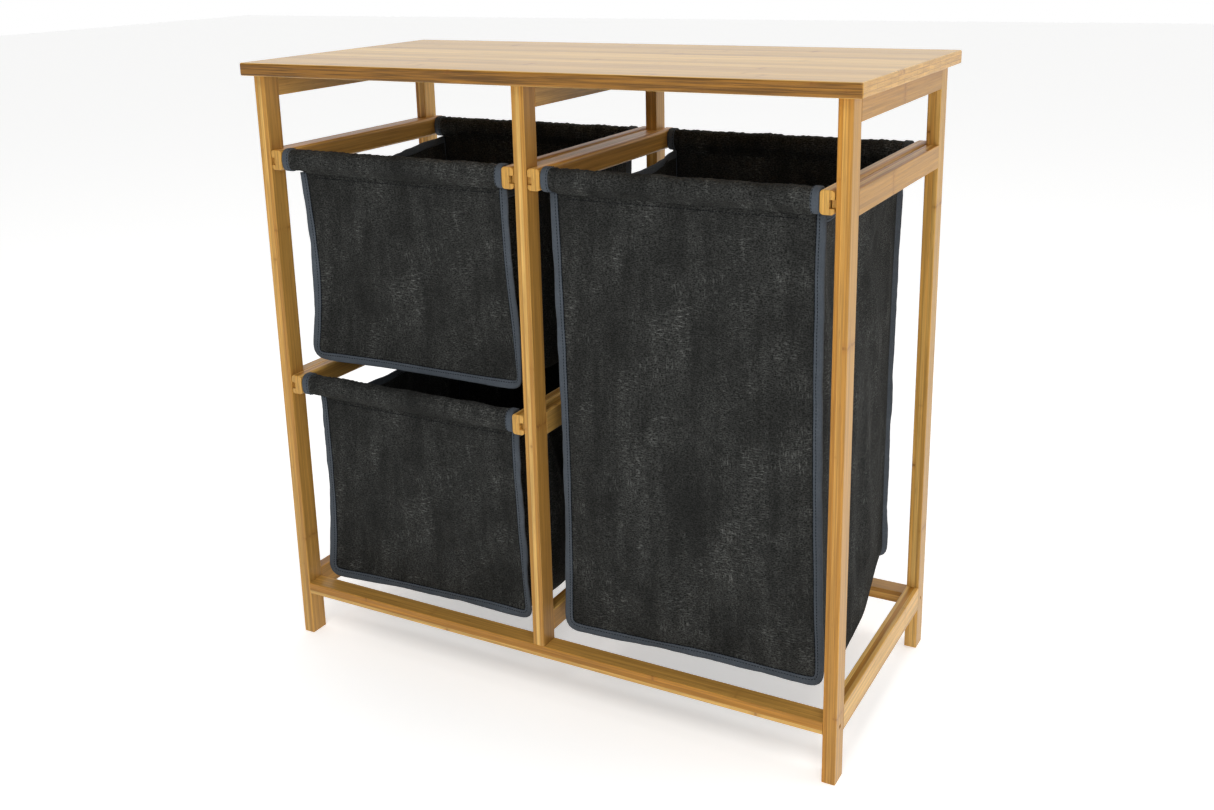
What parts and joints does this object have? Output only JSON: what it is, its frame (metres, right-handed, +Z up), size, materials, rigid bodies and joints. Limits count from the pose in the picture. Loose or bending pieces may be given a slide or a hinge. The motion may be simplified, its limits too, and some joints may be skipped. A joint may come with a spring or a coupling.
{
  "type": "laundry sorter",
  "caption": "Bamboo laundry sorter stand with a flat top and pull-out bag frames: small ones stacked at the left, a tall one at the right.",
  "frame": {"origin": "middle of the footprint of the top board, on the floor under the posts", "axes": "+X along the width to the user's right, +Y to the rear, +Z up; the drawers pull out towards -Y"},
  "size_m": [0.74, 0.355, 0.73],
  "materials": {
    "bamboo": "satin lacquered laminated bamboo",
    "dowel_wood": "plain beech",
    "bag_cloth": "dark charcoal melange cloth",
    "binding_tape": "slate grey woven binding tape",
    "thread": "dark slate sewing thread",
    "screw_steel": "dark zinc plate"
  },
  "bodies": {
    "stand": {"back_stretcher": "bamboo", "front_stretcher": "bamboo", "left_apron": "bamboo", "left_back_post": "bamboo", "left_dowels": "dowel_wood", "left_front_post": "bamboo", "left_low_rail": "bamboo", "left_lower_runner": "bamboo", "left_lower_tongue": "bamboo", "left_upper_runner": "bamboo", "left_upper_tongue": "bamboo", "middle_apron": "bamboo", "middle_back_post": "bamboo", "middle_dowels": "dowel_wood", "middle_front_post": "bamboo", "middle_low_rail": "bamboo", "middle_lower_left_tongue": "bamboo", "middle_lower_runner": "bamboo", "middle_post_screws": "screw_steel", "middle_upper_left_tongue": "bamboo", "middle_upper_right_tongue": "bamboo", "middle_upper_runner": "bamboo", "right_apron": "bamboo", "right_back_post": "bamboo", "right_dowels": "dowel_wood", "right_front_post": "bamboo", "right_low_rail": "bamboo", "right_upper_runner": "bamboo", "right_upper_tongue": "bamboo", "stretcher_screws": "screw_steel", "top_board": "bamboo", "top_board_screws": "screw_steel"},
    "upper_left_drawer": {"upper_left_bag": "bag_cloth", "upper_left_drawer_back_bar": "bamboo", "upper_left_drawer_front_bar": "bamboo", "upper_left_drawer_left_rail": "bamboo", "upper_left_drawer_right_rail": "bamboo", "upper_left_drawer_screws": "screw_steel"},
    "lower_left_drawer": {"lower_left_bag": "bag_cloth", "lower_left_drawer_back_bar": "bamboo", "lower_left_drawer_front_bar": "bamboo", "lower_left_drawer_left_rail": "bamboo", "lower_left_drawer_right_rail": "bamboo", "lower_left_drawer_screws": "screw_steel"},
    "right_drawer": {"right_bag": "bag_cloth", "right_drawer_back_bar": "bamboo", "right_drawer_front_bar": "bamboo", "right_drawer_left_rail": "bamboo", "right_drawer_right_rail": "bamboo", "right_drawer_screws": "screw_steel"}
  },
  "joints": [
    {"name": "upper_left_drawer_slide", "type": "slide", "parent": "stand", "child": "upper_left_drawer", "axis": [0, -1, 0], "range_m": [0, 0.25]},
    {"name": "lower_left_drawer_slide", "type": "slide", "parent": "stand", "child": "lower_left_drawer", "axis": [0, -1, 0], "range_m": [0, 0.25]},
    {"name": "right_drawer_slide", "type": "slide", "parent": "stand", "child": "right_drawer", "axis": [0, -1, 0], "range_m": [0, 0.25]}
  ]
}
